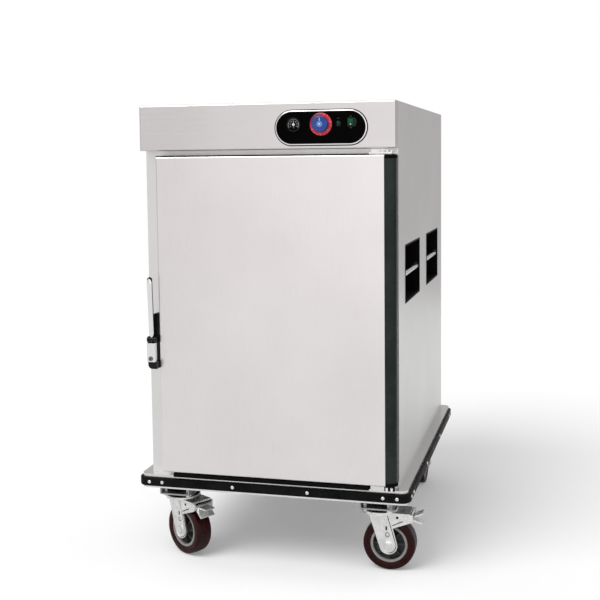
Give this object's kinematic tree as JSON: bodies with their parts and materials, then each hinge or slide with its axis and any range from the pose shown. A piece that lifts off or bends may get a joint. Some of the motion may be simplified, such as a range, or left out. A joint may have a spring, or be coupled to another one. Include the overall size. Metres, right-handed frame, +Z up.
{
  "type": "insulated food carrier",
  "caption": "Tall insulated, electrically heated food cart: hinged door with edge latch, control panel, tray ledges, recessed grab bars and a rubber bumper, on swivel and rigid casters.",
  "frame": {"origin": "on the floor, under the middle of the cabinet", "axes": "+X to the right seen from the door side, +Y to the back, +Z up"},
  "size_m": [0.736, 0.9435, 1.173],
  "materials": {
    "stainless": "satin brushed stainless steel",
    "liner_steel": "bright smooth stainless steel",
    "polished_steel": "polished steel",
    "bright_chrome": "polished chrome",
    "aluminium": "plain aluminium",
    "galvanised": "galvanised steel tube",
    "zinc_plate": "bright zinc plate",
    "foam": "rigid foam",
    "black_gloss": "gloss black",
    "black_plastic": "moulded black plastic",
    "motor_black": "black painted motor case",
    "dial_case": "black dial in a black case",
    "needle_paint": "white painted pointer",
    "blue_plastic": "blue cap on a red ring",
    "green_lens": "green lamp lens",
    "green_plastic": "green rocker",
    "heater_steel": "dark heat-resisting steel",
    "gasket_rubber": "matt black seal",
    "black_rubber": "matt black rubber",
    "dark_stile": "dark grey bar",
    "bush_nylon": "white nylon",
    "hub_grey": "light grey nylon",
    "maroon_tyre": "dark maroon polyurethane"
  },
  "bodies": {
    "cabinet": {"side_panels": "stainless", "top_panel": "stainless", "rear_panel": "stainless", "front_frame": "stainless", "liner": "liner_steel", "insulation": "foam", "header_cover": "stainless", "control_bezel": "bright_chrome", "control_fascia": "black_gloss", "thermometer_case": "dial_case", "thermostat_body": "black_plastic", "pilot_lamp": "green_lens", "rocker_housing": "black_plastic", "grab_pockets": "black_plastic", "grab_bars": "polished_steel", "tray_racks": "liner_steel", "water_pan": "liner_steel", "air_baffle": "liner_steel", "fan_motor": "motor_black", "heater_element": "heater_steel", "power_inlet": "black_plastic", "hinge_brackets": "polished_steel", "latch_strike": "polished_steel", "deck": "stainless", "chassis_rails": "galvanised", "bumper_channel": "aluminium", "bumper_strip": "black_rubber", "bumper_screws": "polished_steel", "swivel_top_plates": "zinc_plate", "caster_plate_bolts": "zinc_plate", "rear_forks": "zinc_plate"},
    "needle": {"thermometer_needle": "needle_paint"},
    "knob": {"thermostat_knob": "blue_plastic"},
    "switch_rocker": {"rocker": "green_plastic"},
    "fan": {"fan_impeller": "aluminium"},
    "door": {"door_skin": "stainless", "door_liner": "liner_steel", "door_insulation": "foam", "door_gasket": "gasket_rubber", "hinge_stile": "dark_stile", "hinge_bushes": "bush_nylon", "latch_base": "black_plastic", "latch_body": "bright_chrome"},
    "latch_lever": {"lever": "black_plastic", "lever_cover": "bright_chrome"},
    "lock": {"lock_plug": "polished_steel"},
    "wheel_front_left": {"wheel_hub_front_left": "hub_grey", "tyre_front_left": "maroon_tyre"},
    "wheel_front_right": {"wheel_hub_front_right": "hub_grey", "tyre_front_right": "maroon_tyre"},
    "wheel_rear_left": {"wheel_hub_rear_left": "hub_grey", "tyre_rear_left": "maroon_tyre"},
    "wheel_rear_right": {"wheel_hub_rear_right": "hub_grey", "tyre_rear_right": "maroon_tyre"},
    "swivel_front_left": {"swivel_fork_front_left": "zinc_plate", "axle_front_left": "zinc_plate"},
    "pedal_front_left": {"brake_pedal_front_left": "zinc_plate"},
    "swivel_front_right": {"swivel_fork_front_right": "zinc_plate", "axle_front_right": "zinc_plate"},
    "pedal_front_right": {"brake_pedal_front_right": "zinc_plate"}
  },
  "joints": [
    {"name": "door_swing", "type": "hinge", "parent": "cabinet", "child": "door", "pos_m": [0.306, -0.4435, 0.642], "axis": [0, 0, 1], "range_deg": [0, 180]},
    {"name": "lever_pull", "type": "hinge", "parent": "door", "child": "latch_lever", "pos_m": [-0.2985, -0.4735, 0.5838], "axis": [1, 0, 0], "range_deg": [0, 45], "stiffness_Nm_per_rad": 0.4, "springref_deg": -20.05},
    {"name": "lock_turn", "type": "hinge", "parent": "door", "child": "lock", "pos_m": [-0.2985, -0.4845, 0.5365], "axis": [0, 1, 0], "range_deg": [0, 90]},
    {"name": "thermostat_turn", "type": "hinge", "parent": "cabinet", "child": "knob", "pos_m": [0.145, -0.465, 1.119], "axis": [0, 1, 0], "range_deg": [0, 270]},
    {"name": "needle_turn", "type": "hinge", "parent": "cabinet", "child": "needle", "pos_m": [0.077, -0.465, 1.119], "axis": [0, 1, 0], "range_deg": [0, 240]},
    {"name": "rocker_press", "type": "hinge", "parent": "cabinet", "child": "switch_rocker", "pos_m": [0.218, -0.465, 1.123], "axis": [1, 0, 0], "range_deg": [-18, 0]},
    {"name": "fan_spin", "type": "hinge", "parent": "cabinet", "child": "fan", "pos_m": [0, 0.348, 0.7215], "axis": [0, 1, 0], "continuous": true},
    {"name": "swivel_turn_front_left", "type": "hinge", "parent": "cabinet", "child": "swivel_front_left", "pos_m": [-0.266, -0.365, 0.163], "axis": [0, 0, 1], "continuous": true},
    {"name": "wheel_roll_front_left", "type": "hinge", "parent": "swivel_front_left", "child": "wheel_front_left", "pos_m": [-0.24395, -0.37878, 0.067], "axis": [0.5299, 0.848, 0], "continuous": true},
    {"name": "brake_press_front_left", "type": "hinge", "parent": "swivel_front_left", "child": "pedal_front_left", "pos_m": [-0.19816, -0.40739, 0.136], "axis": [0.5299, 0.848, 0], "range_deg": [-24, 0]},
    {"name": "swivel_turn_front_right", "type": "hinge", "parent": "cabinet", "child": "swivel_front_right", "pos_m": [0.266, -0.365, 0.163], "axis": [0, 0, 1], "continuous": true},
    {"name": "wheel_roll_front_right", "type": "hinge", "parent": "swivel_front_right", "child": "wheel_front_right", "pos_m": [0.292, -0.365, 0.067], "axis": [0, 1, 0], "continuous": true},
    {"name": "brake_press_front_right", "type": "hinge", "parent": "swivel_front_right", "child": "pedal_front_right", "pos_m": [0.346, -0.365, 0.136], "axis": [0, 1, 0], "range_deg": [0, 24]},
    {"name": "wheel_roll_rear_left", "type": "hinge", "parent": "cabinet", "child": "wheel_rear_left", "pos_m": [-0.266, 0.332, 0.067], "axis": [-1, 0, 0], "continuous": true},
    {"name": "wheel_roll_rear_right", "type": "hinge", "parent": "cabinet", "child": "wheel_rear_right", "pos_m": [0.266, 0.332, 0.067], "axis": [-1, 0, 0], "continuous": true}
  ]
}
